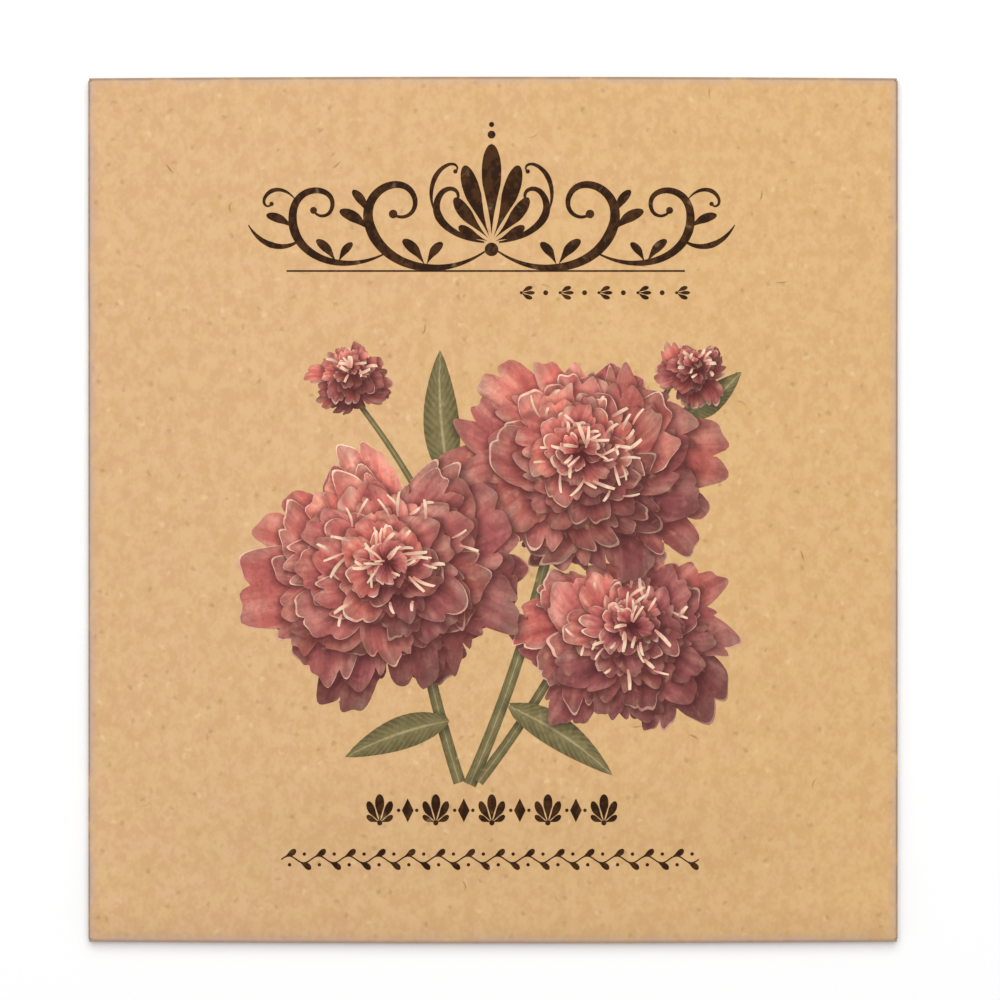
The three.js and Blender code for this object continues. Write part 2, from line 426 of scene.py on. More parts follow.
def new_material(name, roughness, specular=0.5):
    material = bpy.data.materials.new(name)
    material.use_nodes = True
    shader = material.node_tree.nodes["Principled BSDF"]
    shader.inputs["Roughness"].default_value = roughness
    shader.inputs["Specular IOR Level"].default_value = specular
    return material, material.node_tree, shader


def add_position(tree):
    return add_node(tree, "ShaderNodeTexCoord").outputs["Object"]


def add_kraft(tree):
    """The card's own grain at the place of the surface."""
    return add_node(tree, "ShaderNodeGroup", {"Position": add_position(tree)}, node_tree=kraft).outputs


def add_relief(tree, shader, height, strength, depth):
    inputs = {"Height": height, "Strength": strength, "Distance": depth}
    tree.links.new(add_node(tree, "ShaderNodeBump", inputs).outputs[0], shader.inputs["Normal"])


material, tree, shader = new_material("kraft_card", roughness=0.86, specular=0.25)
grain = add_kraft(tree)
where = add_position(tree)
place = add_node(tree, "ShaderNodeSeparateXYZ", {"Vector": where}).outputs
across_mm = times(tree, place["X"], 1 / MM)
up_mm = times(tree, place["Y"], 1 / MM)
light = mix_colours(tree, grain["Tint"], srgb(214, 176, 127), srgb(215, 175, 131))
deep = mix_colours(tree, grain["Tint"], srgb(205, 164, 115), srgb(206, 163, 119))
# Painted light: the card is tinted warmer towards the right, standing in for a warm light from that side
warm_light_tint = times(tree, ease(tree, across_mm, -60.0, 60.0), 0.33)
light = mix_colours(tree, warm_light_tint, light, srgb(215, 175, 108))
deep = mix_colours(tree, warm_light_tint, deep, srgb(206, 163, 97))
colour = mix_colours(tree, grain["Cloud"], deep, light)
colour = mix_colours(tree, times(tree, grain["Pale"], 0.34), colour, srgb(240, 208, 164))
colour = mix_colours(tree, times(tree, grain["Dark"], 0.62), colour, srgb(118, 88, 42))

# The folds are worn grey by rubbing, and partly darkened as painted shade where the sheet curves
# into them. A thin line of painted shade lies outermost at the sides and the top, and painted
# shade reaches further in at the bottom, where the front curves down
end_mm = packet_height / 2 / MM
bow_per_mm = bow / crease_x**2 * MM
from_side = math_node(tree, "SUBTRACT", packet_width / 2 / MM, math_node(tree, "ABSOLUTE", across_mm))
bowed = math_node(tree, "MULTIPLY_ADD", math_node(tree, "POWER", across_mm, 2.0), -bow_per_mm, end_mm)
from_top = math_node(tree, "SUBTRACT", bowed, up_mm)
from_bottom = math_node(tree, "ADD", bowed, up_mm)
uneven = add_node(tree, "ShaderNodeTexNoise", {"Vector": where, "Scale": 260.0, "Detail": 3.0}).outputs[0]
# Painted shade: darker towards the bottom, where the front curves down into its fold
bottom_shade = times(tree, ease(tree, from_bottom, 6.0, 0.0), 0.2)
colour = mix_colours(tree, bottom_shade, colour, srgb(160, 124, 92))
from_edge = math_node(tree, "MINIMUM", from_side, math_node(tree, "MINIMUM", from_top, from_bottom))
# Part wear, part painted shade where the sheet curves into the fold
rubbed_and_shaded = times(tree, ease(tree, from_edge, 1.6, 0.1), ease(tree, uneven, 0.15, 0.6))
colour = mix_colours(tree, times(tree, rubbed_and_shaded, 0.6), colour, srgb(184, 160, 154))
from_line = math_node(tree, "MINIMUM", from_side, math_node(tree, "SUBTRACT", from_top, 0.15))
# Painted shade: a thin dark line outermost at the sides and the top, where the card turns away at the fold
fold_line_shade = times(tree, ease(tree, from_line, 0.42, 0.14), ease(tree, uneven, 0.2, 0.5))
colour = mix_colours(tree, times(tree, fold_line_shade, 0.55), colour, srgb(118, 96, 70))
tree.links.new(colour, shader.inputs["Base Color"])
add_relief(tree, shader, grain["Height"], strength=0.2, depth=0.05 * MM)
sheet.data.materials.append(material)
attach(sheet, "root")
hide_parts("kraft_packet")


# ---------------------------------------------------------------------------------------------
# Printed scrollwork
# A scroll over a thin rule at the top, a row of small palmettes and a running vine at the foot.
# They are dark brown ink on the card: films that stand 0.03 mm above it, closed all round.
# ---------------------------------------------------------------------------------------------

ink_rise = 0.03 * MM
ink_sink = 0.04 * MM  # how far its underside is sunk in the card


def front_z(x, y):
    """Height of the front's outer face."""
    flat_y = y / (1 + bow * (1 - (x / crease_x) ** 2) / crease_y)
    return edge_z + swelling(x, flat_y) + card / 2


def triangulate(points, edges):
    """Joins points, in mm, into triangles that keep to the given edges."""
    made = delaunay_2d_cdt([Vector(p) for p in points], edges, [], 0, 1e-5, False)
    return np.array([tuple(p) for p in made[0]]), np.array([list(f) for f in made[2]])


def edges_of(face):
    return zip(face, face[1:] + face[:1])


def parts_apart(faces, vertices):
    """Where parts of a film meet in a single point, gives each part a point of its own."""
    count = {}
    around = {}
    for number, face in enumerate(faces):
        for a, b in edges_of(face):
            count[frozenset((a, b))] = count.get(frozenset((a, b)), 0) + 1
            around.setdefault(a, []).append(number)
    for point in {p for edge, uses in count.items() if uses > 2 for p in edge}:
        left = set(around[point])
        is_first = True
        while left:
            part = [left.pop()]
            for number in part:
                for other in list(left):
                    common = set(faces[number]) & set(faces[other]) - {point}
                    if any(count.get(frozenset((point, p)), 0) == 2 for p in common):
                        left.discard(other)
                        part.append(other)
            if not is_first:
                vertices.append(vertices[point])
                for number in part:
                    faces[number] = [len(vertices) - 1 if p == point else p for p in faces[number]]
            is_first = False


def inner_triangles(corners, border):
    """The triangles on the left of a directed border, and all that join on to them inside it."""
    sides = {}
    for number, triangle in enumerate(corners.tolist()):
        for a, b in edges_of(triangle):
            sides[(a, b)] = number
    fence = {frozenset(edge) for edge in border}
    found = [sides[edge] for edge in border if edge in sides]
    inside = set(found)
    for number in found:
        for a, b in edges_of(corners[number].tolist()):
            other = sides.get((b, a))
            if other is not None and other not in inside and frozenset((a, b)) not in fence:
                inside.add(other)
                found.append(other)
    return corners[sorted(inside)]


def make_film(name, points, corners):
    """A closed film of ink on the front. Its printed face keeps the given triangles, and comes
    first in the mesh. Its underside is joined anew from the outline and a coarse grid. Its map
    lays the printed face over nine tenths, the edge just outside that, and the underside below."""
    used, corners = np.unique(corners, return_inverse=True)
    corners = corners.reshape(-1, 3)
    points = points[used]
    directed = {edge for triangle in corners.tolist() for edge in edges_of(triangle)}
    border = sorted((a, b) for a, b in directed if (b, a) not in directed)
    rim = sorted({a for edge in border for a in edge})
    place = {point: i for i, point in enumerate(rim)}
    first, last = points.min(axis=0), points.max(axis=0)
    low = [tuple(points[p]) for p in rim]
    low += [(x, y) for x in np.arange(first[0], last[0], 3) for y in np.arange(first[1], last[1], 3)]
    low_border = [(place[a], place[b]) for a, b in border]
    low, low_corners = triangulate(low, low_border)
    low_corners = inner_triangles(low_corners, low_border)
    kept, low_corners = np.unique(np.append(low_corners, np.arange(len(rim))), return_inverse=True)
    low = low[kept]
    low_corners = low_corners[: -len(rim)].reshape(-1, 3)
    count = len(points)
    faces = corners.tolist()
    faces += [[count + c, count + b, count + a] for a, b, c in low_corners.tolist()]
    faces += [[b, a, count + place[a], count + place[b]] for a, b in border]
    vertices = [(x * MM, y * MM, front_z(x * MM, y * MM) + ink_rise) for x, y in points]
    vertices += [(x * MM, y * MM, front_z(x * MM, y * MM) - ink_sink) for x, y in low]

    outward = np.zeros((len(low), 2))
    for a, b in border:
        along = (points[b] - points[a]) / np.hypot(*(points[b] - points[a]))
        for p in (a, b):
            outward[place[p]] += (along[1], -along[0])
    outward /= np.maximum(np.hypot(outward[:, 0], outward[:, 1]), 1e-9)[:, None]
    scale = min(0.98 / (last[0] - first[0]), 0.88 / (last[1] - first[1]))
    printed_uv = (points - first) * scale + (0.01, 0.11)
    edge_uv = (low + 0.2 * outward - first) * scale + (0.01, 0.11)
    low_uv = (low - first) * scale * 0.09 + (0.01, 0.01)
    uvs = [printed_uv[p] for tri in corners for p in tri]
    uvs += [low_uv[p] for tri in low_corners for p in tri[::-1]]
    for a, b in border:
        uvs += [printed_uv[b], printed_uv[a], edge_uv[place[a]], edge_uv[place[b]]]

    parts_apart(faces, vertices)
    mesh = bpy.data.meshes.new(name)
    mesh.from_pydata(vertices, [], faces)
    film_map = mesh.uv_layers.new(name="OFBake")
    film_map.data.foreach_set("uv", np.array(uvs).ravel())
    film = bpy.data.objects.new(name, mesh)
    bpy.context.collection.objects.link(film)
    return film


def winding(outline, points):
    """How often a closed outline goes round each point."""
    turns = np.zeros(len(points), int)
    for (ax, ay), (bx, by) in zip(outline, np.roll(outline, -1, axis=0)):
        side = (bx - ax) * (points[:, 1] - ay) - (points[:, 0] - ax) * (by - ay)
        turns += ((ay <= points[:, 1]) & (by > points[:, 1]) & (side > 0)).astype(int)
        turns -= ((ay > points[:, 1]) & (by <= points[:, 1]) & (side < 0)).astype(int)
    return turns


def inside_any(outlines, points):
    return np.any([winding(outline, points) != 0 for outline in outlines], axis=0)


def print_outlines(name, outlines):
    """Prints closed outlines, in mm, as one film. Where they lie over each other they join."""
    points = []
    edges = []
    for outline in outlines:
        first = len(points)
        points.extend(tuple(p) for p in outline)
        edges.extend((first + i, first + (i + 1) % len(outline)) for i in range(len(outline)))
    points, corners = triangulate(points, edges)
    corners = corners[inside_any(outlines, points[corners].mean(axis=1))]
    return make_film(name, points, corners)


def dot(x, y, radius, points=14):
    turn = np.linspace(0, 2 * math.pi, points, endpoint=False)
    return np.array([x, y]) + radius * np.stack([np.cos(turn), np.sin(turn)], axis=1)


def stroke(knots, widths, round_end):
    """The outlines of a pen stroke along cubic curves, and of the dot that it ends in. widths are
    at its start, middle and end."""
    knots = np.array(knots, float)
    line = []
    for i in range(0, len(knots) - 1, 3):
        a, b, c, d = knots[i : i + 4]
        length = np.linalg.norm(d - a) + np.linalg.norm(b - a)
        t = np.linspace(0, 1, max(8, int(length * 3)))[:, None]
        line.append((a * (1 - t) ** 3 + 3 * b * t * (1 - t) ** 2 + 3 * c * t**2 * (1 - t) + d * t**3)[:-1])
    line = np.concatenate(line + [knots[-1:]])
    step = np.gradient(line, axis=0)
    along = np.concatenate([[0], np.cumsum(np.hypot(*np.diff(line, axis=0).T))])
    along /= along[-1]
    widest = max(widths)
    even = np.interp(along, [0, 0.5, 1], widths)
    pressures = [widths[0], widest * 0.8, widest, widest * 0.72, widths[-1]]
    pressed = np.interp(along, [0, 0.25, 0.5, 0.75, 1], pressures)
    half = (even + pressed) / 4
    normal = np.stack([-step[:, 1], step[:, 0]], axis=1) / np.hypot(*step.T)[:, None]
    outlines = [np.concatenate([line + normal * half[:, None], (line - normal * half[:, None])[::-1]])]
    if round_end:
        outlines.append(dot(*knots[-1], round_end, points=20))
    return outlines


def drop(base, degrees, length, width, bend=0.0, full=1.9):
    """The outline of a small leaf, narrow at its foot and round at its tip. full sets how far out
    it is at its widest."""
    t = np.linspace(0, 1, max(11, int(length * 6))) ** 0.8
    half = width / 2 * np.sqrt(np.sin(math.pi * np.minimum(t**full, 1)))
    half *= 0.35 + 0.65 * np.minimum(1, t * 1.8)
    middle = length * bend * t**2
    upper = np.stack([t * length, middle + half], axis=1)
    lower = np.stack([t * length, middle - half], axis=1)
    local = np.concatenate([upper, lower[-2:0:-1]])
    c, s = math.cos(math.radians(degrees)), math.sin(math.radians(degrees))
    return np.array(base) + local @ np.array([[c, s], [-s, c]])


# The scroll: its right half, then both halves and the palmette that stands between them. Under it
# a thin rule, and a short row of sprigs with dots between them.
half = []
for knots, widths, end in (
    (
        [(0.8, -4.6), (7, -9), (15.5, -7), (17, -0.5), (17.8, 4.4), (11.6, 6.4), (10.6, 2.6), (10.2, 0.6),
         (12.2, -0.6), (13.6, 0.5)],
        (0.2, 1.5, 0.35), 0.6,
    ),
    (
        [(14.6, -4.9), (21, -8.4), (28.4, -5), (27.4, 1), (26.7, 4.8), (21.6, 4.4), (22, 1.6), (22.2, 0),
         (24, -0.2), (24.6, 1.0)],
        (0.2, 1.25, 0.3), 0.48,
    ),
    ([(26.4, -3.0), (28.4, -4.8), (31.8, -4.2), (33.6, -1.0)], (0.2, 0.85, 0.12), 0),
    (
        [(27.2, 2.6), (28.6, 4.4), (30.8, 4.2), (31.4, 2.6), (31.7, 1.7), (30.8, 1.2), (30.4, 1.9)],
        (0.12, 0.6, 0.2), 0.3,
    ),
    (
        [(1.0, -3.4), (4.5, -3.0), (9.0, -0.4), (7.2, 3.0), (6.2, 4.8), (3.9, 4.0), (4.8, 2.2)],
        (0.2, 1.1, 0.3), 0.42,
    ),
    (
        [(7.9, 1.0), (8.9, 3.2), (8.2, 6.6), (5.8, 7.4), (4.8, 7.6), (4.4, 6.8), (5.0, 6.4)],
        (0.15, 0.7, 0.2), 0.3,
    ),
):
    half += stroke(knots, widths, end)
for foot, degrees, length, width, bend in (
    ((9.2, -6.6), 62, 4.6, 1.5, -0.2),
    ((9.0, -6.6), 112, 3.8, 1.3, 0.2),
    ((16.6, -2.0), 48, 5.2, 1.6, -0.22),
    ((16.9, 0.2), 70, 4.2, 1.3, -0.2),
    ((21.4, -6.3), 62, 4.2, 1.3, -0.2),
    ((21.2, -6.3), 112, 3.4, 1.1, 0.2),
    ((27.1, -1.6), 40, 4.4, 1.3, -0.22),
    ((0.3, -2.6), 67, 10.4, 2.3, 0.06),
    ((0.5, -2.8), 44, 7.2, 1.8, 0.1),
    ((0.6, -3.2), 18, 4.4, 1.4, 0.14),
):
    half.append(drop(foot, degrees, length, width, bend))
scroll = half + [(outline * (-1, 1))[::-1] for outline in half]
scroll += [drop((0, -2.4), 90, 12.6, 2.7), dot(0, 11.5, 0.55), dot(0, 12.9, 0.36), dot(0, -4.4, 0.95)]
scroll = [outline + (-0.2, 40.4) for outline in scroll]
rule_top, rule_foot = 33.13, 32.89
steps = np.linspace(-28.5, 26.5, 29)
scroll.append(np.array([(x, rule_top) for x in steps] + [(x, rule_foot) for x in steps[::-1]]))
sprigs_left, sprigs_pitch, sprigs_y = 4.6, 2.68, 30.0
for i in range(9):
    x = sprigs_left + i * sprigs_pitch
    if i % 2:
        scroll.append(dot(x, sprigs_y, 0.34))
    else:
        foot = (x - 0.7, sprigs_y)
        scroll += [drop(foot, 40, 1.7, 0.62, -0.2), drop(foot, -40, 1.7, 0.62, 0.2), drop(foot, 0, 1.9, 0.5)]
        scroll.append(dot(*foot, 0.2))
scrollwork = print_outlines("print_scroll", scroll)

# The row of palmettes, with a lozenge between two dots in each gap
row = []
row_left, row_pitch, foot_y = -15.6, 3.86, -43.0
middle_y = foot_y + 1.65
top_y = foot_y + 3.3
for i in range(9):
    x = row_left + i * row_pitch
    if i % 2 == 0:
        row += [drop((x, foot_y - 0.1), 90, 4.0, 1.25), dot(x, foot_y - 0.1, 0.36)]
        for lean, length, width, bend in ((38, 3.3, 1.05, 0.14), (76, 2.0, 0.8, 0.2)):
            row += [drop((x, foot_y), 90 + lean, length, width, -bend)]
            row += [drop((x, foot_y), 90 - lean, length, width, bend)]
    else:
        row += [np.array([(x, top_y), (x - 0.8, middle_y), (x, foot_y), (x + 0.8, middle_y)])]
        row += [dot(x - 1.25, middle_y, 0.24), dot(x + 1.25, middle_y, 0.24)]
palmettes = print_outlines("print_palmettes", row)

# The vine: a waving stem with a leaf at each turn
vine_left, vine_length, vine_y, waves = -29.2, 57.6, -48.2, 14
steps = np.linspace(0, 1, 150)
stem_x = vine_left + vine_length * steps
stem_y = vine_y + 0.5 * np.sin(steps * 2 * math.pi * waves)
upper = np.stack([stem_x, stem_y + 0.11], axis=1)
lower = np.stack([stem_x, stem_y - 0.11], axis=1)
vine = [np.concatenate([upper, lower[::-1]])]
for i in range(2 * waves):
    side = 1 if i % 2 == 0 else -1
    x = vine_left + vine_length * (i + 0.5) / (2 * waves)
    vine += [drop((x - 0.7, vine_y + side * 0.3), 24 * side, 2.0, 0.85, 0.12 * side)]
    vine += [dot(x + 0.1, vine_y - side * 0.75, 0.24)]
vine = print_outlines("print_vine", vine)


def ramp(tree, value, *stops):
    """Turns a value into a colour that runs through the stops, each a position and its colour."""
    node = add_node(tree, "ShaderNodeValToRGB", {"Fac": value})
    elements = node.color_ramp.elements
    for i, (position, colour) in enumerate(stops):
        element = elements[i] if i < 2 else elements.new(position)
        element.position = position
        element.color = colour
    return node.outputs["Color"]


# What kraft does to every ink: it takes its light and shadow from the picture, lies thinner over the
# card's deeper clouds, and lets pale and dark fibres show
sockets = dict.fromkeys(("Light", "Shade", "Cloud", "Pale", "Dark", "Show"), "Float")
sockets.update({"Colour": "Color", "Shadow": "Color"})
ink, ins, outs = new_group("ink_on_kraft", sockets, {"Colour": "Color"})
lit = vector_node(ink, "SCALE", ins["Colour"], Scale=ins["Light"])
shaded = mix_colours(ink, ins["Shade"], lit, ins["Shadow"])
thin = times(ink, ease(ink, ins["Cloud"], 0.7, 0.3), ins["Show"])
kept = math_node(ink, "MULTIPLY_ADD", thin, -0.16, 1.0)
veiled = vector_node(ink, "SCALE", shaded, Scale=kept)
pale = times(ink, times(ink, ins["Pale"], ins["Show"]), 0.2)
dark = times(ink, times(ink, ins["Dark"], ins["Show"]), 0.3)
flecked = mix_colours(ink, pale, veiled, srgb(226, 188, 140))
ink.links.new(mix_colours(ink, dark, flecked, srgb(74, 48, 38)), outs["Colour"])


def place_ink(tree, shader, colour, grain, show, light=1.0, shade=0.0, shadow=(0, 0, 0, 1)):
    """Puts an ink colour on the card and feeds the shader with it."""
    inputs = {"Colour": colour, "Light": light, "Shade": shade, "Shadow": shadow, "Show": show}
    inputs.update({name: grain[name] for name in ("Cloud", "Pale", "Dark")})
    printed = add_node(tree, "ShaderNodeGroup", inputs, node_tree=ink)
    tree.links.new(printed.outputs["Colour"], shader.inputs["Base Color"])


material, tree, shader = new_material("brown_ink", roughness=0.7, specular=0.08)
grain = add_kraft(tree)
colour = ramp(tree, grain["Cloud"], (0.3, srgb(50, 29, 14)), (0.9, srgb(70, 43, 21)))
place_ink(tree, shader, colour, grain, show=0.8)
for piece in (scrollwork, palmettes, vine):
    piece.data.materials.append(material)
    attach(piece, "root")


# ---------------------------------------------------------------------------------------------
# Printed picture
# A bunch of ruffled blooms, buds and leaves, printed on the front in soft reds and olive. The ink
# is one film that stands 0.03 mm above the card, with the card's fibres showing through it.
# ---------------------------------------------------------------------------------------------

# A shape of the picture is a dictionary. Its outline and its other lines are lists of points, and
# locate gives, for an array of points, how far along and across the shape each lies, how far
# outside it is (below 0 inside), and whether it is on its bright rim. All in millimetres.
PETAL, LEAF, STAMEN = range(3)
SHADOW = 1.15  # how far a shape shades what lies under it, once moved by the shift
SHADOW_SHIFT = np.array([0.22, -0.32])
draw = random.Random(11)
shapes = []


def add_petal(base, angle, length, half_angle, look):
    lobes = draw.uniform(3.0, 5.4)
    phase = draw.uniform(0, math.pi)
    notch = draw.uniform(0.08, 0.18)
    wave = draw.uniform(0.02, 0.08)
    wave_phase = draw.uniform(0, 6.28)
    ruffle = draw.uniform(0.01, 0.035)
    rim = draw.choice((0, 0, draw.uniform(0.15, 0.3), draw.uniform(0.25, 0.45)))
    twist = draw.uniform(-0.35, 0.35)

    def tip(v):
        across = np.clip(v, -1, 1)
        full = 1 - 0.34 * np.abs(across) ** 2.6
        lobed = 1 - notch * (1 - np.abs(np.sin(across * lobes + phase))) ** 2
        ruffled = 1 + ruffle * np.sin(across * 13 + phase * 5)
        return length * full * lobed * ruffled * (1 + wave * np.sin(across * 2.6 + wave_phase))

    def rim_at(v):
        return rim * (0.2 + 0.8 * np.clip(0.5 + 0.75 * np.sin(v * 4 + wave_phase), 0, 1))

    def lean(r):
        return twist * (r / length) ** 2

    def locate(points):
        offset = points - base
        r = np.hypot(offset[:, 0], offset[:, 1])
        turn = np.arctan2(offset[:, 1], offset[:, 0]) - angle - lean(r)
        turn = (turn + np.pi) % (2 * np.pi) - np.pi
        v = turn / half_angle
        end = tip(v)
        outside = np.maximum(r - end, (np.abs(turn) - half_angle) * np.maximum(r, 0.3))
        smooth_end = length * (1 - 0.34 * np.clip(np.abs(v), 0, 1) ** 2.6)
        return r / smooth_end, v, outside, (r > end - rim_at(v)) & (rim > 0)

    def line(grow, inset):
        spread = np.linspace(-1, 1, 34)
        radius = tip(spread) + grow - inset * rim_at(spread)
        arms = np.array([0.25, 0.5, 0.75])
        r = np.concatenate([radius[0] * arms, radius, radius[-1] * arms[::-1]])
        turn = np.concatenate([np.full(3, -1.0), spread, np.full(3, 1.0)]) * half_angle
        turn = turn + np.sign(turn) * grow / np.maximum(r, 0.3)
        direction = angle + turn + lean(r)
        points = np.stack([np.cos(direction), np.sin(direction)], axis=1) * r[:, None] + base
        return np.concatenate([points, [base]])

    shapes.append(
        {
            "locate": locate,
            "outline": line(0, 0),
            "rim": line(0, 1)[3:-4] if rim else None,
            "shadow": line(SHADOW, 0) + SHADOW_SHIFT,
            "centre": base,
            "radius": length * 1.2,
            "look": look,
            "kind": PETAL,
        }
    )


def leaf_profile(t):
    return np.sin(np.pi * np.clip(t, 0, 1) ** 0.8) ** 0.8


def stem_profile(t):
    return 1.0 - 0.25 * np.clip(t, 0, 1)


def stamen_profile(t):
    return 0.65 + 0.45 * np.sin(2.7 * np.clip(t, 0, 1))


def add_blade(base, angle, length, width, bend, look, kind, profile):
    """A leaf, a stem or a stamen: a strip along a bent line, as wide at each place as profile says."""
    forward = np.array([math.cos(angle), math.sin(angle)])
    sideways = np.array([-math.sin(angle), math.cos(angle)])

    def middle(t):
        return length * (bend * t**2)

    def half(t):
        return width / 2 * profile(t)

    def locate(points):
        offset = points - base
        t = offset @ forward / length
        away = offset @ sideways - middle(np.clip(t, 0, 1))
        room = np.maximum(half(t), 1e-4)
        outside = np.maximum(np.abs(away) - room, np.maximum(-t, t - 1) * length)
        return t, away / room, outside, np.zeros(len(points), bool)

    def line(grow):
        t = np.linspace(0, 1, max(8, int(length / 1.1)))
        side = half(t)[:, None] + grow
        centre_line = base + t[:, None] * length * forward + middle(t)[:, None] * sideways
        upper = centre_line + side * sideways
        lower = centre_line - side * sideways
        return np.concatenate([upper, lower[::-1]])

    shapes.append(
        {
            "locate": locate,
            "outline": line(0),
            "rim": None,
            "shadow": line(SHADOW) + SHADOW_SHIFT if kind == LEAF else None,
            "centre": base + forward * length / 2,
            "radius": length * 0.75 + width,
            "look": look,
            "kind": kind,
        }
    )


def add_bloom(centre, size, rings, facing, warmth):
    """A double bloom: rings of petals, the widest first, each smaller and nearer to its heart."""
    centre = np.array(centre)
    facing = np.array(facing)
    for ring in range(rings):
        t = ring / (rings - 1)
        reach_x = size * (1 - 0.84 * t**0.92)
        reach_y = reach_x * (0.84 + 0.12 * t)
        middle = centre + facing * size * t
        count = round(12 - 5.5 * t)
        start = draw.uniform(0, 6.28)
        order = list(range(count))
        draw.shuffle(order)
        for step in order:
            angle = start + (step + draw.uniform(-0.3, 0.3)) * 2 * math.pi / count
            oval = reach_x * reach_y / math.hypot(reach_y * math.cos(angle), reach_x * math.sin(angle))
            length = oval * draw.uniform(0.84, 1.07)
            half_angle = math.pi / count * draw.uniform(1.25, 1.85)
            base = middle + np.array([draw.uniform(-0.4, 0.4), draw.uniform(-0.4, 0.4)])
            from_light = 0.5 + 0.5 * math.cos(angle - math.radians(115))
            light = 0.64 + 0.44 * from_light + draw.uniform(-0.14, 0.14) - 0.12 * (1 - t) * (1 - from_light)
            warm = min(1, max(0, warmth + 0.55 * (from_light - 0.4) + draw.uniform(-0.35, 0.35)))
            add_petal(base, angle, length, half_angle, look=(warm, light, draw.random()))
    heart = centre + facing * size
    for _ in range(round(size * 2)):
        angle = draw.uniform(0, 2 * math.pi)
        start = heart + size * draw.uniform(0.02, 0.5) * np.array([math.cos(angle), 0.85 * math.sin(angle)])
        add_blade(
            base=start,
            angle=angle + draw.uniform(-1.0, 1.0),
            length=draw.uniform(1.2, 3.4) * (0.3 + size / 30),
            width=draw.uniform(0.28, 0.48),
            look=(0.5, draw.uniform(0.8, 1.1), draw.random()),
            bend=draw.uniform(-0.35, 0.35),
            kind=STAMEN,
            profile=stamen_profile,
        )


def covering(points, owners=None):
    """For each point, the topmost shape on it, whether that is on its rim, and how much the shapes
    above it shade it. With owners given, the shade that each point of those shapes gets."""
    top = np.full(len(points), -1) if owners is None else owners.copy()
    on_rim = np.zeros(len(points), bool)
    shade = np.zeros(len(points))
    for index, shape in enumerate(shapes):
        off = points - shape["centre"]
        close = np.flatnonzero(np.hypot(off[:, 0], off[:, 1]) < shape["radius"] + 2)
        if owners is not None:
            close = close[owners[close] < index]
        if not len(close):
            continue
        if owners is None:
            _, _, outside, rim = shape["locate"](points[close])
            inside = close[outside < 0]
            top[inside] = index
            on_rim[inside] = rim[outside < 0]
            shade[inside] = 0
            close = close[outside >= 0]
        if shape["shadow"] is not None and len(close):
            _, _, outside, _ = shape["locate"](points[close] - SHADOW_SHIFT)
            shade[close] = np.maximum(shade[close], np.clip(1 - outside / SHADOW, 0, 1))
    return top, on_rim, shade


def visible_lines():
    """The lines of the picture that show: those between two different tones."""
    points = []
    edges = []
    for shape in shapes:
        for name in ("shadow", "outline", "rim"):
            line = shape[name]
            if line is None:
                continue
            first = len(points)
            points.extend(line)
            count = len(line)
            edges.extend((first + i, first + i + 1) for i in range(count - 1))
            if name != "rim":
                edges.append((first + count - 1, first))
    points, corners = triangulate(points, edges)
    top, on_rim, shade = covering(points[corners].mean(axis=1))
    tone = top * 4 + on_rim * 2 + (shade > 0.02)
    tone[top < 0] = -1
    sides = {}
    for face, (a, b, c) in enumerate(corners):
        for edge in ((a, b), (b, c), (c, a)):
            sides.setdefault((min(edge), max(edge)), []).append(face)
    kept = []
    for edge, faces in sides.items():
        tones = {tone[face] for face in faces}
        if len(faces) == 1:
            tones.add(-1)
        if len(tones) > 1:
            kept.append(edge)
    return points, straightened(points, kept)


def straightened(points, edges):
    """Drops the points at which a line only goes straight on."""
    beside = {}
    for a, b in edges:
        beside.setdefault(a, set()).add(b)
        beside.setdefault(b, set()).add(a)
    for point in list(beside):
        if len(beside[point]) != 2:
            continue
        a, b = beside[point]
        before = points[point] - points[a]
        after = points[b] - points[point]
        bend = abs(before[0] * after[1] - before[1] * after[0])
        length = math.hypot(*before) * math.hypot(*after)
        straight = bend < 0.02 * length or length < 0.0009
        if straight and b not in beside[a] and math.hypot(*(before + after)) < 1.2:
            beside[a].discard(point)
            beside[b].discard(point)
            beside[a].add(b)
            beside[b].add(a)
            del beside[point]
    return [(a, b) for a, others in beside.items() for b in others if a < b]


# Stems and leaves lie under the blooms
for profile, base, degrees, length, width, bend, light in (
    (stem_profile, (-4.6, -37.5), 108, 34, 1.7, -0.1, 0.95),
    (stem_profile, (-3.2, -37.8), 66, 42, 1.8, 0.12, 1.0),
    (stem_profile, (-2.0, -37.4), 52, 27, 1.5, 0.1, 0.9),
    (stem_profile, (-9.0, 0.0), 118, 20, 0.9, 0.1, 0.95),
    (stem_profile, (16.0, 6.0), 48, 17, 0.9, 0.1, 0.95),
    (leaf_profile, (-6.0, -29.0), 190, 15, 4.6, 0.16, 0.95),
    (leaf_profile, (2.0, -27.0), -22, 17, 4.6, -0.2, 1.0),
    (leaf_profile, (-6.0, 4.0), 101, 18, 5.0, -0.12, 1.0),
    (leaf_profile, (26.0, 13.0), 22, 10, 3.8, 0.25, 1.05),
):
    look = (0.5, light, draw.random())
    add_blade(np.array(base), math.radians(degrees), length, width, bend, look, LEAF, profile)

# Two buds and three open blooms, the largest on top
add_bloom(centre=(-19.5, 18.0), size=6.0, rings=4, facing=(0.0, 0.25), warmth=0.55)
add_bloom(centre=(27.5, 19.0), size=5.4, rings=4, facing=(0.1, 0.25), warmth=0.45)
add_bloom(centre=(18.0, -17.0), size=16.5, rings=7, facing=(0.06, 0.08), warmth=0.25)
add_bloom(centre=(12.5, 6.0), size=19.5, rings=8, facing=(-0.02, 0.12), warmth=0.45)
add_bloom(centre=(-15.0, -9.5), size=21.5, rings=8, facing=(0.02, 0.1), warmth=0.4)

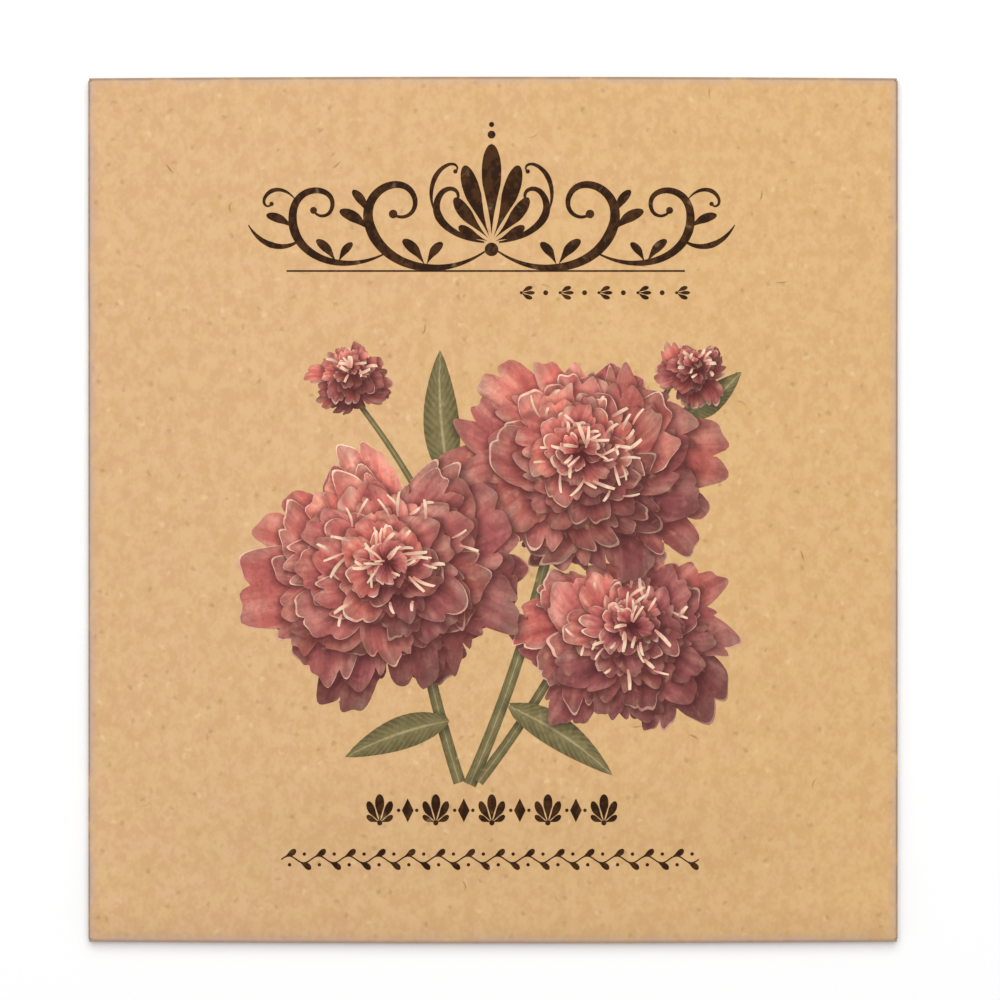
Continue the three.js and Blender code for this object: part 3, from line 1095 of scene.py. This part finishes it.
# The film: the lines that show, filled with a loose grid of points that keeps off them
lines, edges = visible_lines()
ends = sorted({p for edge in edges for p in edge})
index = {p: i for i, p in enumerate(ends)}
points = [tuple(lines[p]) for p in ends]
tree_of_points = kdtree.KDTree(len(points))
for i, point in enumerate(points):
    tree_of_points.insert((*point, 0), i)
tree_of_points.balance()
pitch = 1.1
grid = [(x, y) for x in np.arange(-40, 40, pitch) for y in np.arange(-40, 32, pitch)]
spots = [(x + draw.uniform(-0.3, 0.3), y + draw.uniform(-0.3, 0.3)) for x, y in grid]
points += [spot for spot in spots if tree_of_points.find((*spot, 0))[2] > 0.45]
points, corners = triangulate(points, [(index[a], index[b]) for a, b in edges])
top, on_rim, _ = covering(points[corners].mean(axis=1))
shown = top >= 0
corners, top, on_rim = corners[shown], top[shown], on_rim[shown]
film = make_film("print_bouquet", points, corners)
mesh = film.data

# The paint of each corner: along and across its shape in one UV map, shade, warmth, light and a
# number of the shape's own in a colour attribute
spots = points[corners].reshape(-1, 2)
owners = np.repeat(top, 3)
along = np.zeros(len(spots))
across = np.zeros(len(spots))
for i, shape in enumerate(shapes):
    mine = np.flatnonzero(owners == i)
    if len(mine):
        along[mine], across[mine], _, _ = shape["locate"](spots[mine])
along += 0.22 * np.repeat(on_rim, 3)
_, _, shade = covering(spots, owners)
looks = np.array([shape["look"] for shape in shapes])[owners]
mesh.uv_layers.new(name="along_across")
mesh.color_attributes.new("paint", "FLOAT_COLOR", "CORNER")
uv = mesh.uv_layers["along_across"]
paint = mesh.color_attributes["paint"]
kinds = np.array([shape["kind"] for shape in shapes])[top]
for face in mesh.polygons:
    printed = face.index < len(corners)
    face.material_index = int(kinds[face.index]) if printed else 0
    for k, loop in enumerate(face.loop_indices):
        spot = face.index * 3 + k
        if printed:
            uv.data[loop].uv = (along[spot], np.clip(across[spot], -1.2, 1.2))
            paint.data[loop].color = (shade[spot], *looks[spot])
        else:
            uv.data[loop].uv = (0.5, 0)
            paint.data[loop].color = (0.5, 0.5, 0.8, 0.5)


def picture_ink(name):
    """The next ink of the picture, in the order of the kinds of shapes. Gives its grain, and the
    picture's own values at a place: along, across, shade, warmth, light and number."""
    material, tree, shader = new_material(name, roughness=0.72, specular=0.12)
    mesh.materials.append(material)
    uv = add_node(tree, "ShaderNodeUVMap", uv_map="along_across").outputs[0]
    place = add_node(tree, "ShaderNodeSeparateXYZ", {"Vector": uv}).outputs
    painted = add_node(tree, "ShaderNodeAttribute", attribute_name="paint").outputs
    parts = add_node(tree, "ShaderNodeSeparateColor", {"Color": painted["Color"]}).outputs
    return tree, shader, add_kraft(tree), (place["X"], place["Y"], *parts, painted["Alpha"])


tree, shader, grain, paint_at = picture_ink("petal_ink")
along_at, across_at, shade_at, warm_at, light_at, number_at = paint_at
wide = weighted(tree, (across_at, 4.5), (number_at, 70.0))
far = times(tree, along_at, 1.6)
own = times(tree, number_at, 9.0)
petal_place = add_node(tree, "ShaderNodeCombineXYZ", {"X": wide, "Y": far, "Z": own}).outputs[0]
streaks = add_noise(tree, petal_place, 1.0, 4.0, 0.62)
folds = add_noise(tree, petal_place, 0.42, 1.0, 0.5)
level = weighted(tree, (along_at, 1 / 1.4), (streaks, 0.75 / 1.4), (folds, 0.7 / 1.4))
level = math_node(tree, "SUBTRACT", level, 0.725 / 1.4)
cool = ramp(
    tree, level,
    (0.14, srgb(94, 42, 44)), (0.36, srgb(136, 70, 72)), (0.56, srgb(172, 96, 94)),
    (0.72, srgb(204, 132, 122)), (0.93, srgb(238, 184, 162)),
)
warm = ramp(
    tree, level,
    (0.14, srgb(120, 50, 46)), (0.36, srgb(176, 82, 76)), (0.56, srgb(212, 114, 100)),
    (0.72, srgb(234, 156, 134)), (0.93, srgb(248, 208, 182)),
)
colour = mix_colours(tree, warm_at, cool, warm)
at_edge = times(tree, ease(tree, along_at, 0.86, 1.0), ease(tree, along_at, 1.16, 1.1))
colour = mix_colours(tree, times(tree, at_edge, 0.4), colour, srgb(96, 46, 46))
shade = times(tree, shade_at, 0.78)
place_ink(tree, shader, colour, grain, show=1.0, light=light_at, shade=shade, shadow=srgb(78, 36, 34))

tree, shader, grain, paint_at = picture_ink("leaf_ink")
along_at, across_at, shade_at, _, light_at, _ = paint_at
off_rib = math_node(tree, "ABSOLUTE", across_at)
slant = add_node(tree, "ShaderNodeCombineXYZ", {"X": weighted(tree, (along_at, 5.0), (off_rib, -0.8))})
inputs = {"Vector": slant.outputs[0], "Scale": 1.0, "Distortion": 1.5, "Detail": 2.0}
veins = add_node(tree, "ShaderNodeTexWave", inputs)
colour = mix_colours(tree, ease(tree, off_rib, 0.0, 1.0), srgb(128, 115, 77), srgb(100, 89, 55))
veined = times(tree, veins.outputs["Fac"], 0.35)
colour = mix_colours(tree, veined, colour, srgb(148, 137, 95))
colour = mix_colours(tree, ease(tree, off_rib, 0.12, 0.02), colour, srgb(168, 154, 112))
shade = times(tree, shade_at, 0.65)
place_ink(tree, shader, colour, grain, show=1.0, light=light_at, shade=shade, shadow=srgb(48, 46, 32))

tree, shader, grain, paint_at = picture_ink("stamen_ink")
along_at, _, shade_at, _, _, _ = paint_at
colour = mix_colours(tree, ease(tree, along_at, 0.0, 0.8), srgb(206, 142, 122), srgb(240, 208, 178))
shade = times(tree, shade_at, 0.5)
place_ink(tree, shader, colour, grain, show=1.0, shade=shade, shadow=srgb(110, 60, 58))
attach(film, "root")


# ---------------------------------------------------------------------------------------------
# Seeds
# The 36 loose seeds sealed in the packet. They are dry ribbed husks of the carried-over solids,
# pale on the ribs, darker in the grooves and at the collar, of four tones.
# ---------------------------------------------------------------------------------------------

husk, ins, outs = new_group(
    "seed_husk",
    {"Position": "Vector", "Raised": "Float", "Pale": "Color", "Deep": "Color"},
    {"Colour": "Color", "Height": "Float"},
)
blotches = add_noise(husk, ins["Position"], 900.0, 4.0, 0.5)
streaks = add_noise(husk, ins["Position"], 2600.0, 3.0, 0.5)
colour = mix_colours(husk, ease(husk, blotches, 0.35, 0.65), ins["Deep"], ins["Pale"])
colour = mix_colours(husk, ease(husk, ins["Raised"], 0.5, 0.46), colour, srgb(86, 62, 40))
scuffed = times(husk, ease(husk, streaks, 0.6, 0.75), 0.4)
husk.links.new(mix_colours(husk, scuffed, colour, srgb(214, 190, 146)), outs["Colour"])
husk.links.new(streaks, outs["Height"])

husks = []
for pale, deep in (
    (srgb(174, 146, 102), srgb(102, 76, 49)),
    (srgb(186, 157, 110), srgb(110, 82, 53)),
    (srgb(198, 167, 117), srgb(117, 88, 57)),
    (srgb(208, 176, 124), srgb(124, 93, 60)),
):
    material, tree, shader = new_material(f"husk_{len(husks) + 1}", roughness=0.78)
    raised = add_node(tree, "ShaderNodeNewGeometry").outputs["Pointiness"]
    inputs = {"Position": add_position(tree), "Raised": raised, "Pale": pale, "Deep": deep}
    skin = add_node(tree, "ShaderNodeGroup", inputs, node_tree=husk).outputs
    tree.links.new(skin["Colour"], shader.inputs["Base Color"])
    add_relief(tree, shader, skin["Height"], strength=0.4, depth=0.1 * MM)
    husks.append(material)

for number in range(36):
    for slot in bpy.data.objects[f"seed_{number + 1:02d}"].material_slots:
        slot.material = husks[number % len(husks)]


# ---------------------------------------------------------------------------------------------
# Floor, light and camera
# A pale table top that the packet lies on, one large soft light above and beyond it, and a camera
# that looks straight down on its front. None of them is part of the object.
# ---------------------------------------------------------------------------------------------

deselect_objects()
bpy.ops.mesh.primitive_plane_add(size=4, location=(0, 0, 0))
floor = bpy.context.object
floor.name = "floor"
material, _, shader = new_material("pale_floor", roughness=0.9)
shader.inputs["Base Color"].default_value = (0.93, 0.93, 0.93, 1)
floor.data.materials.append(material)

world = bpy.data.worlds.new("studio")
bpy.context.scene.world = world
world.use_nodes = True
background = world.node_tree.nodes["Background"]
background.inputs["Color"].default_value = (1, 1, 1, 1)
background.inputs["Strength"].default_value = 0.48

bpy.ops.object.light_add(type="AREA", location=(-0.02, 0.44, 0.8))
lamp = bpy.context.object
lamp.name = "softbox"
lamp.data.size = 1.0
lamp.data.energy = 8.4
lamp.rotation_euler = (math.radians(-29), math.radians(-1), 0)

# The packet takes up 810 of the 1000 pixels across, a little left of and below the middle
packet_px = packet_width / 810
camera_z = 0.5
sensor = 36
bpy.ops.object.camera_add(location=(7 * packet_px, 10 * packet_px, camera_z))
camera = bpy.context.object
camera.data.sensor_width = sensor
camera.data.lens = sensor * (camera_z - 1.6 * MM) / (1000 * packet_px)
camera.data.clip_start = 0.01
bpy.context.scene.camera = camera
